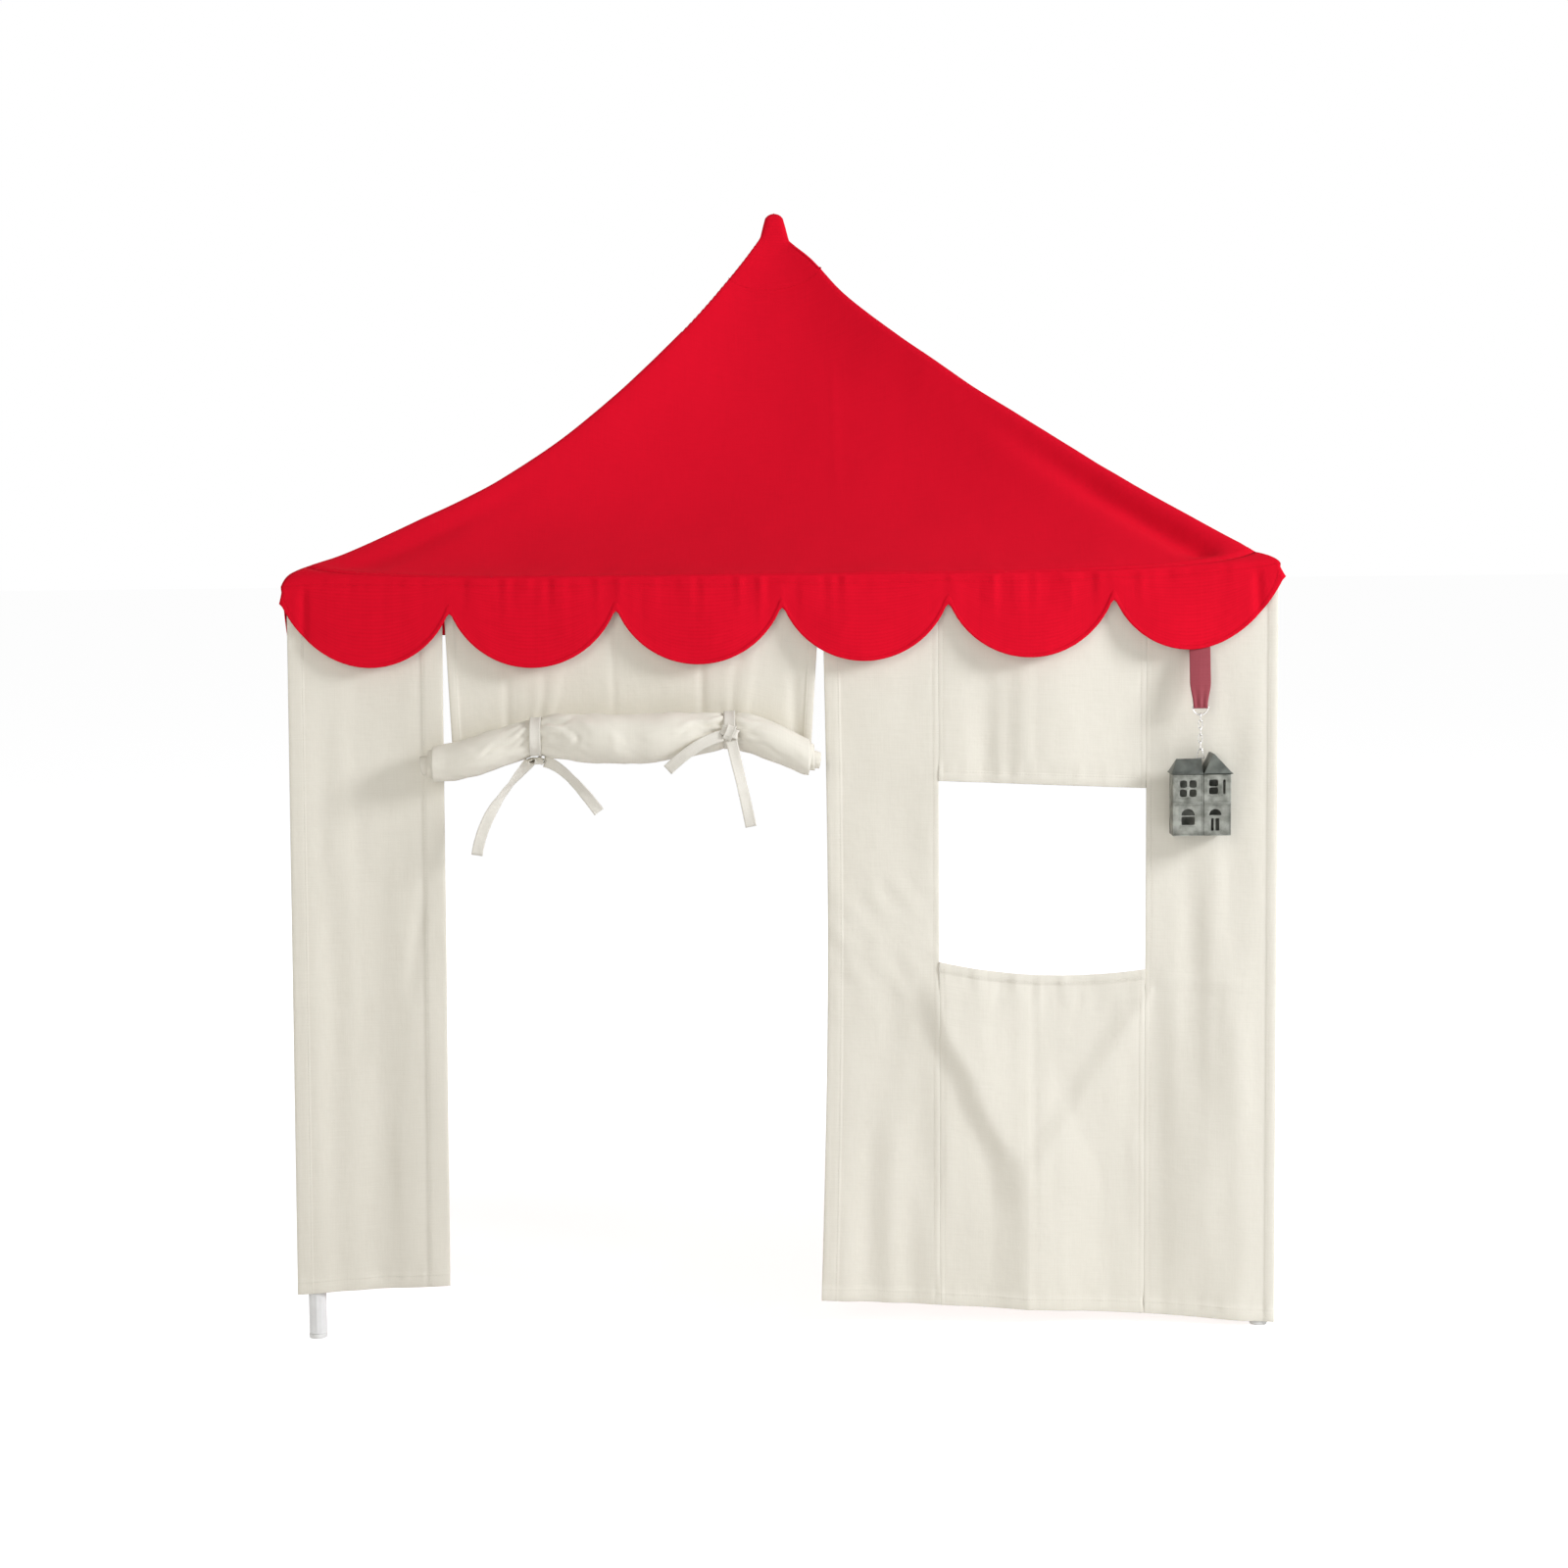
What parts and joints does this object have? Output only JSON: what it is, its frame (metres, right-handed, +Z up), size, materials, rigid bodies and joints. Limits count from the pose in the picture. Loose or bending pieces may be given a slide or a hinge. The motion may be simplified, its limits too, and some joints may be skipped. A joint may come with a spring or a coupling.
{
  "type": "play tent",
  "caption": "Rectangular cloth play tent on a tube frame, with a peaked roof, scalloped valance, rolled-up door, window opening and a small house hanging from a ribbon.",
  "frame": {"origin": "on the floor, in the middle of the tent's bounding box", "axes": "+Z up; the front with the doorway and the window faces -Y; +X is to the right of someone who looks at the front"},
  "size_m": [1.211, 0.8592, 1.397],
  "materials": {
    "powder_coat": "satin white powder coat",
    "white_plastic": "matt moulded",
    "pine": "bare turned wood",
    "red_cotton": "plain weave cotton canvas",
    "cream_cotton": "plain weave cotton canvas",
    "cotton_tape": "woven tape",
    "maroon_ribbon": "ribbed ribbon",
    "nickel": "plated wire",
    "zinc": "dull aged grey zinc"
  },
  "bodies": {
    "tent": {"corner_block_front_left": "white_plastic", "corner_block_front_right": "white_plastic", "corner_block_rear_left": "white_plastic", "corner_block_rear_right": "white_plastic", "foot_front_left": "white_plastic", "foot_front_right": "white_plastic", "foot_rear_left": "white_plastic", "foot_rear_right": "white_plastic", "post_front_left": "powder_coat", "post_front_right": "powder_coat", "post_rear_left": "powder_coat", "post_rear_right": "powder_coat", "spoke_front_left": "powder_coat", "spoke_front_right": "powder_coat", "spoke_rear_left": "powder_coat", "spoke_rear_right": "powder_coat", "rail_front": "powder_coat", "rail_rear": "powder_coat", "rail_left": "powder_coat", "rail_right": "powder_coat", "spoke_hub": "white_plastic", "king_post": "powder_coat", "peak_knob": "pine", "canopy_roof": "red_cotton", "peak_patch": "red_cotton", "valance_front": "red_cotton", "valance_rear": "red_cotton", "valance_left": "red_cotton", "valance_right": "red_cotton", "front_left_panel": "cream_cotton", "door_header": "cream_cotton", "door_panel": "cream_cotton", "window_left_strip": "cream_cotton", "window_header": "cream_cotton", "window_apron": "cream_cotton", "window_right_strip": "cream_cotton", "side_wall_left": "cream_cotton", "side_wall_right": "cream_cotton", "ribbon": "maroon_ribbon"},
    "door_roll": {"door_roll": "cream_cotton", "tie_loop_left": "cotton_tape", "tie_knot_left": "cotton_tape", "tie_tail_left_long": "cotton_tape", "tie_tail_left_short": "cotton_tape", "tie_loop_right": "cotton_tape", "tie_knot_right": "cotton_tape", "tie_tail_right_front": "cotton_tape", "tie_tail_right_low": "cotton_tape"},
    "d_ring": {"d_ring": "nickel"},
    "link_1": {"chain_link_1": "nickel"},
    "link_2": {"chain_link_2": "nickel"},
    "link_3": {"chain_link_3": "nickel"},
    "link_4": {"chain_link_4": "nickel"},
    "link_5": {"chain_link_5": "nickel"},
    "house": {"house_eye": "nickel", "house_left_wing": "zinc", "house_right_wing": "zinc", "house_left_roof": "zinc", "house_right_roof": "zinc"}
  },
  "joints": [
    {"name": "door_lower", "type": "slide", "parent": "tent", "child": "door_roll", "axis": [0, 0, -1], "range_m": [0, 0.56], "deforming": ["door_panel"]},
    {"name": "d_ring_swing", "type": "hinge", "parent": "tent", "child": "d_ring", "pos_m": [0.502, -0.38845, 0.7695], "axis": [-1, 0, 0], "range_deg": [0, 30]},
    {"name": "link_1_swing", "type": "hinge", "parent": "d_ring", "child": "link_1", "pos_m": [0.502, -0.38845, 0.7597], "axis": [-1, 0, 0], "range_deg": [0, 20]},
    {"name": "link_2_swing", "type": "hinge", "parent": "link_1", "child": "link_2", "pos_m": [0.502, -0.38845, 0.7514], "axis": [0, 1, 0], "range_deg": [-15, 15]},
    {"name": "link_3_swing", "type": "hinge", "parent": "link_2", "child": "link_3", "pos_m": [0.502, -0.38845, 0.7429], "axis": [-1, 0, 0], "range_deg": [0, 20]},
    {"name": "link_4_swing", "type": "hinge", "parent": "link_3", "child": "link_4", "pos_m": [0.502, -0.38845, 0.7344], "axis": [0, 1, 0], "range_deg": [-15, 15]},
    {"name": "link_5_swing", "type": "hinge", "parent": "link_4", "child": "link_5", "pos_m": [0.502, -0.38845, 0.7259], "axis": [-1, 0, 0], "range_deg": [0, 20]},
    {"name": "house_swing", "type": "hinge", "parent": "link_5", "child": "house", "pos_m": [0.502, -0.38845, 0.7174], "axis": [0, 1, 0], "range_deg": [-15, 15]}
  ]
}
